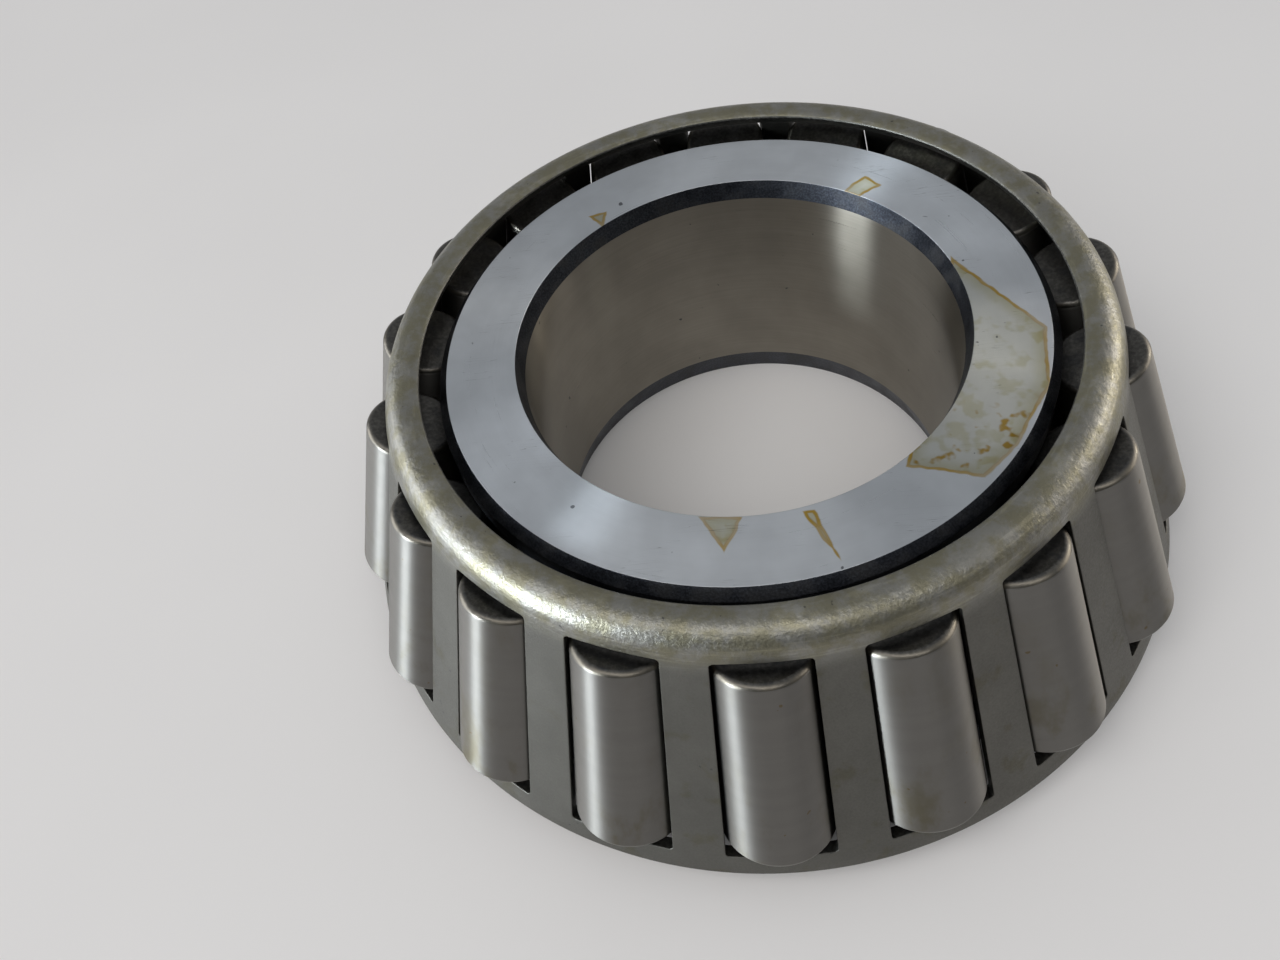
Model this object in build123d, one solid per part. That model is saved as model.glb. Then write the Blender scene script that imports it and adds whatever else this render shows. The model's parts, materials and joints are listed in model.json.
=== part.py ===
from build123d import *

import os
from math import asin, cos, degrees, radians, sin, tan

# Inner ring, rollers and cage of a single-row tapered roller bearing.
# Millimetres. The origin is the centre of the ring's back face, +Z runs to the small end.
# Every raceway, roller and cage cone has its tip at one apex on the Z axis, so the rollers roll true.

# ---- Inner ring ----
bore_diameter = 42.8625
ring_width = 29.9
back_rib_width = 4.475  # back face to the start of the raceway
back_rib_height = 2.0  # how far the rib stands above the raceway
front_rib_width = 3.95  # end of the raceway to the front face
front_rib_height = 0.9
ring_wall = 13.57  # bore to raceway, at the raceway's large end
raceway_angle = radians(15.6)  # between the raceway and the bearing axis
back_chamfer_height = 3.3  # bore chamfer at the back face
back_chamfer_depth = 0.95
front_chamfer_height = 1.95  # bore chamfer at the front face
front_chamfer_depth = 0.6
back_rim_chamfer = 0.8  # outer corner of the back face
front_rim_chamfer = 0.95  # outer corner of the front face
relief_radius = 0.55  # grinding relief at each end of the raceway

# ---- Rollers ----
roller_count = 18
first_azimuth = -90  # degrees around the bearing, of the first roller
roller_diameter = 10.7  # at the large end
roller_corner = 0.95
roller_crown = 0.05  # dome on the large end

# ---- Cage, pressed from sheet ----
sheet = 1.3
cage_rise = 0.59  # place of the sheet's outer face between roller axis (0) and roller surface (1)
pocket_share = 0.946  # pocket width over roller diameter: under 1, so the bars hold the rollers in
pocket_corner = 0.4
large_lip = 2.5  # sheet below the pockets
small_lip = 0.95  # sheet between the pockets and the bend of the rim
rim_tuck = radians(35)  # how far the rim turns down past level

# ---- Clearances ----
raceway_clearance = 0.05
back_rib_clearance = 0.09
front_rib_clearance = 0.35
pocket_side_clearance = 0.12
pocket_end_clearance = 0.85
rim_clearance = 1.3  # cage rim to the ring's front rib, radially

# ---- Cones about the common apex ----
bore_radius = bore_diameter / 2
raceway_radius = bore_radius + ring_wall
apex_height = back_rib_width + raceway_radius / tan(raceway_angle)
far_contact = raceway_radius / sin(raceway_angle)  # apex to the raceway's large end
contact_length = (ring_width - back_rib_width - front_rib_width) / cos(raceway_angle)
near_contact = far_contact - contact_length
roller_half_angle = asin(roller_diameter / 2 / far_contact)
roller_tilt = raceway_angle + roller_half_angle  # between a roller's axis and the bearing axis
roller_far = far_contact * cos(roller_half_angle)  # apex to the large end, along the roller axis
roller_near = near_contact * cos(roller_half_angle)
roller_length = roller_far - roller_near
cage_angle = roller_tilt + cage_rise * roller_half_angle
front_rib_radius = near_contact * sin(raceway_angle) + front_rib_height


def on_cone(angle, distance, offset=0.0):
    """Point (radius, height) on a cone from the apex, moved offset outwards from its surface."""
    radius = distance * sin(angle) + offset * cos(angle)
    height = apex_height - distance * cos(angle) + offset * sin(angle)
    return radius, height


def on_roller_end(radius, distance):
    """Point (radius, height) at a radius on the plane square to the roller axis at a distance."""
    centre_radius, centre_height = on_cone(roller_tilt, distance)
    return radius, centre_height + (radius - centre_radius) * tan(roller_tilt)


def lathe(edges):
    """Solid of revolution about Z from a closed (radius, height) outline."""
    return revolve(Plane.XZ * make_face(edges), Axis.Z)


def make_inner_ring():
    back_rib_radius = raceway_radius + back_rib_height
    far_foot = on_cone(raceway_angle, far_contact + back_rib_clearance, -raceway_clearance)
    near_foot = on_cone(raceway_angle, near_contact - front_rib_clearance, -raceway_clearance)
    outline = Polyline(
        (bore_radius + back_chamfer_depth, 0),
        (back_rib_radius - back_rim_chamfer, 0),
        (back_rib_radius, back_rim_chamfer),
        on_roller_end(back_rib_radius, roller_far + back_rib_clearance),
        far_foot,
        near_foot,
        on_roller_end(front_rib_radius, roller_near - front_rib_clearance),
        (front_rib_radius, ring_width - front_rim_chamfer),
        (front_rib_radius - front_rim_chamfer, ring_width),
        (bore_radius + front_chamfer_depth, ring_width),
        (bore_radius, ring_width - front_chamfer_height),
        (bore_radius, back_chamfer_height),
        close=True,
    )
    ring = lathe(outline.edges())
    for radius, height in (far_foot, near_foot):
        ring -= revolve(Plane.XZ * Pos(radius, height) * Circle(relief_radius), Axis.Z)
    return ring


def roller_radius(along):
    """Radius of the roller's cone at a distance up its axis from the large end."""
    return (roller_far - along) * tan(roller_half_angle)


def make_roller():
    """One roller on the Z axis, its large end at the origin."""
    large, small = roller_radius(0), roller_radius(roller_length)
    crown_top = (0, -roller_crown)
    crown_mid = (large / 2, -roller_crown * 3 / 4)
    profile = make_face(
        [
            ThreePointArc(crown_top, crown_mid, (large, 0)).edge(),
            Line((large, 0), (small, roller_length)).edge(),
            Line((small, roller_length), (0, roller_length)).edge(),
            Line((0, roller_length), crown_top).edge(),
        ]
    )
    corners = profile.vertices().filter_by(lambda corner: corner.X > small / 2)
    return revolve(Plane.XZ * fillet(corners, roller_corner), Axis.Z)


def roller_plane(number):
    """Plane on the large end of a roller: Z up the roller axis, X around the bearing, Y inwards."""
    azimuth = radians(first_azimuth + number * 360 / roller_count)
    radius, height = on_cone(roller_tilt, roller_far)
    return Plane(
        origin=(radius * cos(azimuth), radius * sin(azimuth), height),
        x_dir=(-sin(azimuth), cos(azimuth), 0),
        z_dir=(-sin(roller_tilt) * cos(azimuth), -sin(roller_tilt) * sin(azimuth), cos(roller_tilt)),
    )


def make_cage_blank():
    """The cage's sheet before its pockets are pierced."""
    spread = cos(cage_rise * roller_half_angle)
    skirt_end = (roller_far + pocket_end_clearance) / spread + large_lip
    bend_start = (roller_near - pocket_end_clearance) / spread - small_lip
    bend_radius = (on_cone(cage_angle, bend_start)[0] - front_rib_radius - rim_clearance) / (
        cos(cage_angle) + sin(rim_tuck)
    )
    centre = on_cone(cage_angle, bend_start, -bend_radius)
    turn_end = radians(90) + rim_tuck

    def on_bend(radius, angle):
        return centre[0] + radius * cos(angle), centre[1] + radius * sin(angle)

    inner_bend = bend_radius - sheet
    turn_mid = (cage_angle + turn_end) / 2
    return lathe(
        [
            Line(on_cone(cage_angle, skirt_end), on_cone(cage_angle, bend_start)).edge(),
            ThreePointArc(*[on_bend(bend_radius, a) for a in (cage_angle, turn_mid, turn_end)]).edge(),
            Line(on_bend(bend_radius, turn_end), on_bend(inner_bend, turn_end)).edge(),
            ThreePointArc(*[on_bend(inner_bend, a) for a in (turn_end, turn_mid, cage_angle)]).edge(),
            Line(on_cone(cage_angle, bend_start, -sheet), on_cone(cage_angle, skirt_end, -sheet)).edge(),
            Line(on_cone(cage_angle, skirt_end, -sheet), on_cone(cage_angle, skirt_end)).edge(),
        ]
    )


def make_pocket():
    """What one pocket removes, in the roller's own frame: a tapered window and room for the roller."""
    bottom = -pocket_end_clearance
    top = roller_length + pocket_end_clearance
    half_bottom = pocket_share * roller_radius(bottom)
    half_top = pocket_share * roller_radius(top)
    outline = Polyline(
        (-half_bottom, bottom), (half_bottom, bottom), (half_top, top), (-half_top, top), close=True
    )
    window = Plane.XZ * fillet(make_face(outline.edges()).vertices(), pocket_corner)
    room = Pos(0, 0, bottom) * Cone(
        roller_radius(bottom) + pocket_side_clearance,
        roller_radius(top) + pocket_side_clearance,
        top - bottom,
        align=(Align.CENTER, Align.CENTER, Align.MIN),
    )
    return extrude(window, roller_diameter) + room


def make_cage():
    cage = make_cage_blank()
    pocket = make_pocket()
    return cage - [roller_plane(number) * pocket for number in range(roller_count)]


def main():
    os.makedirs("parts", exist_ok=True)
    export_step(make_inner_ring(), "parts/inner_ring.step")
    export_step(make_cage(), "parts/cage.step")
    roller = make_roller()
    for number in range(roller_count):
        export_step(roller_plane(number) * roller, f"parts/roller_{number + 1:02d}.step")
    print("roller length", roller_length, "small end", 2 * roller_radius(roller_length))
    print("roller half angle", degrees(roller_half_angle), "tilt", degrees(roller_tilt))


if __name__ == "__main__":
    main()
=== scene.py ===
import json
from math import atan, atan2, ceil, copysign, cos, pi, radians, sin, sqrt, tan

import bmesh
import bpy
from bpy.props import FloatProperty, FloatVectorProperty, IntProperty, PointerProperty
from mathutils import Matrix, Vector


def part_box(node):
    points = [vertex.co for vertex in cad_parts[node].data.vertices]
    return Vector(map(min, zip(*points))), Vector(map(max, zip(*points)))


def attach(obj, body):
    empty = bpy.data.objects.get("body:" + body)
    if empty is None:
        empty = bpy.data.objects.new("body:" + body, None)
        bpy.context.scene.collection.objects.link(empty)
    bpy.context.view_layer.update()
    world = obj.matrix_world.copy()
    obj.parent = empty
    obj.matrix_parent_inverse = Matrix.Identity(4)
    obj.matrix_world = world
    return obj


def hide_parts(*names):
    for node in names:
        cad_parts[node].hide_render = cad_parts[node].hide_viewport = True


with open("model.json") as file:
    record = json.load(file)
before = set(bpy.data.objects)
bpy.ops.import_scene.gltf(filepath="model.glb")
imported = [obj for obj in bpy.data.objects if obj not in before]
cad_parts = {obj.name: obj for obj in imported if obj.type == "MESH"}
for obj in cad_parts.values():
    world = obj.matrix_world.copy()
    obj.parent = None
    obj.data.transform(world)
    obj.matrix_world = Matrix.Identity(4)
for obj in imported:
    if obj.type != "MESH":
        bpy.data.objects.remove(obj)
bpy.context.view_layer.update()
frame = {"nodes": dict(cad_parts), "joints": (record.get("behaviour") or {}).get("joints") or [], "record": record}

bl_info = {
    "name": "Tapered roller bearing cone",
    "version": (1, 0, 0),
    "blender": (4, 5, 0),
    "location": "3D View > Sidebar > Bearing",
    "description": "Ground inner ring, tapered rollers and pressed cage, finished around the packed model",
    "category": "Object",
}

MM = 0.001
MERGE = 1e-6  # points nearer than this are one point
STRAIGHT = 1e-6  # an arc that bends less than this is a line
FLAT_EDGE = 0.06 * MM  # a step beside each rounding that keeps the flats flat when shaded smooth
CUT = 0.0  # finish of a surface: left by hardening, tumbling or shearing
GROUND = 1.0  # finish of a surface: ground, or the flat of the sheet
ARC_STEP = radians(15)  # longest step round a corner
RELIEF_STEPS = 14  # round a grinding relief
DOME_STEPS = 10  # over a roller's large end
BODY_STEPS = 12  # along a roller

# ---- Cones about the common apex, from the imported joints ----
RECORD = frame["record"]
BORE_MOUNT = next(mount for mount in RECORD["mounts"] if mount["name"] == "bore")
SPIN = next(joint for joint in frame["joints"] if joint["name"] == "roller_01_spin")
SPIN_RATIO = RECORD["behaviour"]["couplings"][0]["ratio"]
SPIN_AXIS, SPIN_PLACE = Vector(SPIN["axis"]), Vector(SPIN["pos_m"])
ROLLERS = sorted(name for name in frame["nodes"] if name.startswith("roller_"))
ROLLER_TILT = atan2(SPIN_AXIS.xy.length, SPIN_AXIS.z)
ROLLER_HALF_ANGLE = atan2(sin(ROLLER_TILT), SPIN_RATIO + cos(ROLLER_TILT))
RACEWAY_ANGLE = ROLLER_TILT - ROLLER_HALF_ANGLE
APEX_HEIGHT = SPIN_PLACE.z + SPIN_PLACE.xy.length / tan(ROLLER_TILT)
FIRST_AZIMUTH = atan2(SPIN_PLACE.y, SPIN_PLACE.x)
RING_LOW, RING_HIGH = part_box("inner_ring")


def size(name, description, default):
    """A length in metres."""
    return FloatProperty(
        name=name, description=description, default=default, min=0, unit="LENGTH", precision=6
    )


def turn(name, description, default):
    """An angle in radians."""
    return FloatProperty(name=name, description=description, default=default, subtype="ANGLE")


def tint(name, description, default):
    """A linear colour."""
    return FloatVectorProperty(
        name=name, description=description, default=default, min=0, max=1, subtype="COLOR", size=3
    )


def share(name, description, default):
    """A number between 0 and 1."""
    return FloatProperty(name=name, description=description, default=default, min=0, max=1, subtype="FACTOR")


class RingSizes(bpy.types.PropertyGroup):
    """Sizes of the inner ring."""

    bore_radius: size("Bore radius", "Radius of the ground bore", BORE_MOUNT["dims"]["r_mm"] * MM)
    width: size("Width", "Back face to front face", RING_HIGH.z)
    back_rib_width: size("Back rib width", "Back face to the start of the raceway", 4.475 * MM)
    back_rib_height: size("Back rib height", "Back rib above the raceway", 2.0 * MM)
    front_rib_width: size("Front rib width", "End of the raceway to the front face", 3.95 * MM)
    front_rib_height: size("Front rib height", "Front rib above the raceway", 0.9 * MM)
    back_chamfer_height: size("Back chamfer height", "Bore chamfer along the bore at the back", 3.3 * MM)
    back_chamfer_depth: size("Back chamfer depth", "Bore chamfer across the back face", 0.95 * MM)
    front_chamfer_height: size("Front chamfer height", "Bore chamfer along the bore at the front", 1.95 * MM)
    front_chamfer_depth: size("Front chamfer depth", "Bore chamfer across the front face", 0.6 * MM)
    back_rim_chamfer: size("Back rim chamfer", "Outer corner of the back face", 0.8 * MM)
    front_rim_chamfer: size("Front rim chamfer", "Outer corner of the front face", 0.95 * MM)
    relief_radius: size("Relief radius", "Grinding relief at each end of the raceway", 0.55 * MM)
    edge: size("Edge", "Rounding left on an edge between two cuts", 0.08 * MM)
    segments: IntProperty(name="Segments", description="Steps around the ring", default=360, min=24)


class RollerSizes(bpy.types.PropertyGroup):
    """Sizes of one roller and its clearances on the ring."""

    diameter: size("Diameter", "Large end of the roller", 10.7 * MM)
    corner: size("Corner", "Rounding of the large end", 0.95 * MM)
    small_corner: size("Small corner", "Rounding of the small end", 0.55 * MM)
    corner_share: share("Corner turn", "Turn of the corner before grinding cut it short", 0.66)
    crown: size("Crown", "Dome on the large end", 0.05 * MM)
    raceway_clearance: size("Raceway clearance", "Roller to raceway", 0.05 * MM)
    back_rib_clearance: size("Back rib clearance", "Large end to the back rib", 0.09 * MM)
    front_rib_clearance: size("Front rib clearance", "Small end to the front rib", 0.35 * MM)
    segments: IntProperty(name="Segments", description="Steps around a roller", default=120, min=24)


class CageSizes(bpy.types.PropertyGroup):
    """Sizes of the pressed cage."""

    sheet: size("Sheet", "Thickness of the sheet", 1.3 * MM)
    rise: share("Rise", "Outer face between roller axis and roller surface", 0.59)
    pocket_share: share("Pocket share", "Pocket width over roller diameter", 0.946)
    pocket_corner: size("Pocket corner", "Rounding of the pocket's corners", 0.4 * MM)
    large_lip: size("Large lip", "Sheet below the pockets", 2.5 * MM)
    small_lip: size("Small lip", "Sheet between the pockets and the bend", 0.95 * MM)
    rim_tuck: turn("Rim tuck", "How far the rim turns down past level", radians(35))
    side_clearance: size("Side clearance", "Roller to the pocket's inner edge", 0.12 * MM)
    end_clearance: size("End clearance", "Roller ends to the pocket", 0.85 * MM)
    rim_clearance: size("Rim clearance", "Rim to the ring's front rib", 1.3 * MM)
    edge: size("Edge", "Rounding left on a punched edge", 0.07 * MM)
    rim_edge: size("Rim edge", "Rounding of the rim's free edge", 0.2 * MM)


class SteelTints(bpy.types.PropertyGroup):
    """Colours of the steel, its skin and the oil on it, with painted light and shade in some tints."""

    # The face tint is pale and bluish and the bore tint dark and brown on one ground steel: painted light on the
    # upward faces, painted shade in the bore.
    face: tint("Ring face", "Ground faces of the ring", (0.54, 0.565, 0.595))
    bore: tint("Ring bore", "Ground bore of the ring", (0.270, 0.248, 0.210))
    skin: tint("Hardened skin", "Dark surfaces that weren't ground", (0.034, 0.037, 0.045))
    roller: tint("Roller body", "Ground surface of the rollers", (0.185, 0.177, 0.164))
    roller_end: tint("Roller ends", "Tumbled ends of the rollers", (0.072, 0.069, 0.064))
    # Brighter tan band on the roller corners: rubbed metal and a painted highlight.
    corner: tint("Roller corners", "Rubbed corners of the rollers", (0.155, 0.140, 0.115))
    cage: tint("Cage sheet", "Pressed sheet of the cage", (0.132, 0.128, 0.115))
    # The lighter rim tint is partly burnish and partly painted light on the rim's top.
    rim: tint("Cage rim", "Sheet burnished by the rolling of the rim", (0.245, 0.240, 0.222))
    rim_oil: tint("Cage oil", "Film of oil on the cage", (0.79, 0.75, 0.55))
    oil: tint("Oil film", "Thin dried oil", (0.62, 0.54, 0.24))
    oil_line: tint("Oil line", "Edge of a dried drop of oil", (0.70, 0.45, 0.09))


class StageSizes(bpy.types.PropertyGroup):
    """Camera, floor and lights."""

    lens: FloatProperty(
        name="Lens", description="Focal length on a 36 mm sensor", default=30.7, unit="CAMERA"
    )
    camera_place: FloatVectorProperty(
        name="Camera",
        description="Where the camera stands",
        default=(0.00228, -0.07472, 0.10661),
        unit="LENGTH",
    )
    camera_aim: FloatVectorProperty(
        name="Aim",
        description="Where the camera looks",
        default=(-0.01176, -0.00608, 0.015),
        unit="LENGTH",
    )
    camera_roll: turn("Roll", "Turn of the camera about its own axis", radians(-14.28))
    floor: tint("Floor", "Pale floor", (0.86, 0.845, 0.84))
    floor_width: size("Floor width", "Side of the square floor", 14.0)


# ---- Outlines ----
def on_cone(angle, distance, offset=0.0):
    """Point (radius, height) on a cone from the apex, moved offset outwards from its surface."""
    radius = distance * sin(angle) + offset * cos(angle)
    return Vector((radius, APEX_HEIGHT - distance * cos(angle) + offset * sin(angle)))


def bow(start, end, bend, steps):
    """Points of an arc from start to end that turns left by bend in all."""
    if abs(bend) < STRAIGHT:
        return [start, end]
    chord = end - start
    side = Vector((-chord.y, chord.x))
    centre = (start + end) / 2 + side / (2 * tan(bend / 2))
    spoke = start - centre
    return [centre + Matrix.Rotation(bend * k / steps, 2) @ spoke for k in range(steps + 1)]


def rounded(before, corner, after, radius, turn_share=1.0):
    """Points that round a corner, with one more on each flat beside it."""
    back, on = (before - corner).normalized(), (after - corner).normalized()
    inside = back.angle(on)
    reach = radius / tan(inside / 2)
    bend = copysign(pi - inside, -back.x * on.y + back.y * on.x)
    steps = max(3, ceil(abs(bend) / ARC_STEP))
    arc = bow(corner + back * reach, corner + on * reach, bend * turn_share, steps)
    return [corner + back * (reach + FLAT_EDGE), *arc, corner + on * (reach + FLAT_EDGE)]


def relieved(before, corner, after, radius):
    """Points of a round groove ground into an inner corner."""
    back, on = (before - corner).normalized(), (after - corner).normalized()
    inside = back.angle(on)
    bend = copysign(2 * pi - inside, back.x * on.y - back.y * on.x)
    start, end = corner + back * radius, corner + on * radius
    return [start + back * FLAT_EDGE, *bow(start, end, -bend, RELIEF_STEPS), end + on * FLAT_EDGE]


def finished(points, before, after):
    """Points with the finish of the surface on each side, changing half way round."""
    return [(p, before if 2 * k < len(points) - 1 else after) for k, p in enumerate(points)]


def ring_outline(ring, roller):
    """Closed outline of the inner ring: [(point, finish), ...]."""
    raceway = on_cone(RACEWAY_ANGLE, far_contact(ring)).x
    back_rib = raceway + ring.back_rib_height
    front_rib = near_contact(ring) * sin(RACEWAY_ANGLE) + ring.front_rib_height
    far, near = roller_ends(ring)
    far_edge = far_contact(ring) + roller.back_rib_clearance
    near_edge = near_contact(ring) - roller.front_rib_clearance
    far_foot = on_cone(RACEWAY_ANGLE, far_edge, -roller.raceway_clearance)
    near_foot = on_cone(RACEWAY_ANGLE, near_edge, -roller.raceway_clearance)
    # each corner with its rounding and the finish of the surface that follows it
    corners = [
        (Vector((ring.bore_radius + ring.back_chamfer_depth, 0)), ring.edge, GROUND),
        (Vector((back_rib - ring.back_rim_chamfer, 0)), ring.edge, CUT),
        (Vector((back_rib, ring.back_rim_chamfer)), 2 * ring.edge, CUT),
        (on_roller_end(back_rib, far + roller.back_rib_clearance), 2 * ring.edge, GROUND),
        (far_foot, None, GROUND),
        (near_foot, None, CUT),
        (on_roller_end(front_rib, near - roller.front_rib_clearance), 2 * ring.edge, CUT),
        (Vector((front_rib, ring.width - ring.front_rim_chamfer)), 2 * ring.edge, CUT),
        (Vector((front_rib - ring.front_rim_chamfer, ring.width)), ring.edge, GROUND),
        (Vector((ring.bore_radius + ring.front_chamfer_depth, ring.width)), ring.edge, CUT),
        (Vector((ring.bore_radius, ring.width - ring.front_chamfer_height)), ring.edge, GROUND),
        (Vector((ring.bore_radius, ring.back_chamfer_height)), ring.edge, CUT),
    ]
    outline = []
    for k, (corner, radius, finish) in enumerate(corners):
        before, after = corners[k - 1], corners[(k + 1) % len(corners)]
        if radius is None:
            arc = relieved(before[0], corner, after[0], ring.relief_radius)
            groove = [(p, CUT) for p in arc[1:-1]]
            outline += [(arc[0], before[2]), *groove, (arc[-1], finish)]
        else:
            outline += finished(rounded(before[0], corner, after[0], radius), before[2], finish)
    return outline + outline[:1]


def far_contact(ring):
    """Apex to the raceway's large end, along the raceway."""
    return (APEX_HEIGHT - ring.back_rib_width) / cos(RACEWAY_ANGLE)


def near_contact(ring):
    """Apex to the raceway's small end, along the raceway."""
    return far_contact(ring) - (ring.width - ring.back_rib_width - ring.front_rib_width) / cos(RACEWAY_ANGLE)


def roller_ends(ring):
    """Apex to the roller's large and small ends, along the roller axis."""
    spread = cos(ROLLER_HALF_ANGLE)
    return far_contact(ring) * spread, near_contact(ring) * spread


def on_roller_end(radius, distance):
    """Point at a radius on the plane square to the roller axis at a distance from the apex."""
    centre = on_cone(ROLLER_TILT, distance)
    return Vector((radius, centre.y + (radius - centre.x) * tan(ROLLER_TILT)))


def roller_outline(ring, roller):
    """Open outline of a roller from the middle of its large end to the middle of its small end."""
    far, near = roller_ends(ring)
    length = far - near
    large = roller.diameter / 2
    small = large * near / far
    lower, upper = Vector((large, 0)), Vector((small, length))
    face = bow(Vector((0, -roller.crown)), lower, 2 * atan(roller.crown / large), DOME_STEPS)
    # the ends' corners were rounded before grinding, so each meets the ground surface in an edge
    first = rounded(face[-2], lower, upper, roller.corner, roller.corner_share)
    second = rounded(lower, upper, Vector((0, length)), roller.small_corner, roller.corner_share)
    dish = [(p, CUT) for p in face if p.x < first[0].x - FLAT_EDGE]
    body = [(lower.lerp(upper, k / BODY_STEPS), GROUND) for k in range(1, BODY_STEPS)]
    corners = [(p, CUT) for p in first[:-2]] + [(p, GROUND) for p in first[-2:]]
    shoulder = [(p, GROUND) for p in second[:2]] + [(p, CUT) for p in second[2:]]
    return [*dish, *corners, *body, *shoulder, (Vector((0, length)), CUT)]


def linked(name, data):
    """New object in the scene."""
    made = bpy.data.objects.new(name, data)
    bpy.context.scene.collection.objects.link(made)
    return made


def with_finish(name, places, faces, finishes):
    """New object whose points carry the finish of their surface."""
    mesh = bpy.data.meshes.new(name)
    mesh.from_pydata(places, [], faces)
    mesh.attributes.new("finish", "FLOAT", "POINT").data.foreach_set("value", finishes)
    return linked(name, mesh)


def outline_object(name, outline):
    """Object whose points are an outline, for the turning tree to read."""
    return with_finish(name, [(p.x, 0, p.y) for p, _ in outline], [], [finish for _, finish in outline])


# ---- Node trees ----
class Wiring:
    """A node tree being wired up."""

    def __init__(self, tree):
        self.tree = tree

    def node(self, kind, sockets=None, **settings):
        """Adds a node, its sockets fed by values or by other nodes, and gives its first output."""
        node = self.tree.nodes.new(kind)
        for key, value in settings.items():
            setattr(node, key, value)
        for key, value in (sockets or {}).items():
            if isinstance(value, bpy.types.NodeSocket):
                self.tree.links.new(value, node.inputs[key])
            else:
                node.inputs[key].default_value = value
        return node.outputs[0]

    def number(self, operation, first, second=0.0):
        """The number that an operation makes of one or two numbers."""
        return self.node("ShaderNodeMath", {0: first, 1: second}, operation=operation)

    def plus(self, first, second):
        """The sum of two numbers."""
        return self.number("ADD", first, second)

    def minus(self, first, second):
        """The first number less the second."""
        return self.number("SUBTRACT", first, second)

    def times(self, *values):
        """The product of some numbers."""
        product = values[0]
        for value in values[1:]:
            product = self.number("MULTIPLY", product, value)
        return product

    def triple(self, x=0.0, y=0.0, z=0.0):
        """A vector from three numbers."""
        return self.node("ShaderNodeCombineXYZ", {0: x, 1: y, 2: z})

    def parts(self, vector):
        """The X, Y and Z of a vector."""
        return self.node("ShaderNodeSeparateXYZ", {0: vector}).node.outputs


class Tree(Wiring):
    """A Geometry Nodes tree with named inputs."""

    def __init__(self, name, inputs):
        super().__init__(bpy.data.node_groups.new(name, "GeometryNodeTree"))
        face = self.tree.interface
        face.new_socket("Geometry", in_out="OUTPUT", socket_type="NodeSocketGeometry")
        face.new_socket("Geometry", in_out="INPUT", socket_type="NodeSocketGeometry")
        for label, kind in inputs.items():
            face.new_socket(label, in_out="INPUT", socket_type=f"NodeSocket{kind}")
        self.inputs = self.tree.nodes.new("NodeGroupInput").outputs
        self.result = self.tree.nodes.new("NodeGroupOutput").inputs[0]

    def named(self, name):
        """A number stored on the points."""
        return self.node("GeometryNodeInputNamedAttribute", {"Name": name}, data_type="FLOAT")

    def keep(self, geometry, name, value, kind="FLOAT"):
        """Stores a value on the points."""
        sockets = {"Geometry": geometry, "Name": name, "Value": value}
        return self.node("GeometryNodeStoreNamedAttribute", sockets, data_type=kind)

    def smooth(self, geometry):
        """Joins what meets and shades it smooth."""
        sockets = {0: geometry, "Distance": self.inputs["Merge distance"]}
        joined = self.node("GeometryNodeMergeByDistance", sockets)
        return self.node("GeometryNodeSetShadeSmooth", {0: joined})

    def end(self, geometry):
        """Ends the tree: real geometry, its fine and its rough surfaces in their own materials."""
        real = self.node("GeometryNodeRealizeInstances", {0: geometry})
        fine = self.node("GeometryNodeSetMaterial", {0: real, "Material": self.inputs["Fine material"]})
        rough = self.node("FunctionNodeCompare", {0: self.named("finish"), 1: 0.5}, operation="LESS_THAN")
        sockets = {0: fine, "Selection": rough, "Material": self.inputs["Rough material"]}
        self.tree.links.new(self.node("GeometryNodeSetMaterial", sockets), self.result)
        return self.tree


COMMON_INPUTS = {"Merge distance": "Float", "Fine material": "Material", "Rough material": "Material"}


def turned(tree):
    """Nodes that turn the outline about Z: a grid with one row for each of the outline's points."""
    outline, segments = tree.inputs["Geometry"], tree.inputs["Segments"]
    points = tree.node("GeometryNodeAttributeDomainSize", {0: outline}, component="MESH")
    around = tree.plus(segments, 1.0)
    grid = tree.node("GeometryNodeMeshGrid", {"Vertices X": points, "Vertices Y": around})
    index = tree.node("GeometryNodeInputIndex")
    row = tree.number("FLOOR", tree.number("DIVIDE", tree.plus(index, 0.5), around))
    step = tree.minus(index, tree.times(row, around))
    angle = tree.number("DIVIDE", tree.times(step, 2 * pi), segments)
    position = tree.node("GeometryNodeInputPosition")
    place = tree.node("GeometryNodeSampleIndex", {0: outline, 1: position, 2: row}, data_type="FLOAT_VECTOR")
    radius, _, height = tree.parts(place)
    x = tree.times(radius, tree.number("COSINE", angle))
    y = tree.times(radius, tree.number("SINE", angle))
    shape = tree.node("GeometryNodeSetPosition", {"Geometry": grid, "Position": tree.triple(x, y, height)})
    sockets = {0: outline, 1: tree.named("finish"), 2: row}
    finish = tree.node("GeometryNodeSampleIndex", sockets, data_type="FLOAT")
    return tree.smooth(tree.keep(shape, "finish", finish))


def ring_tree():
    """Tree that turns the ring's outline about Z."""
    tree = Tree("ring turned about its axis", {"Segments": "Int", **COMMON_INPUTS})
    return tree.end(turned(tree))


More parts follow.
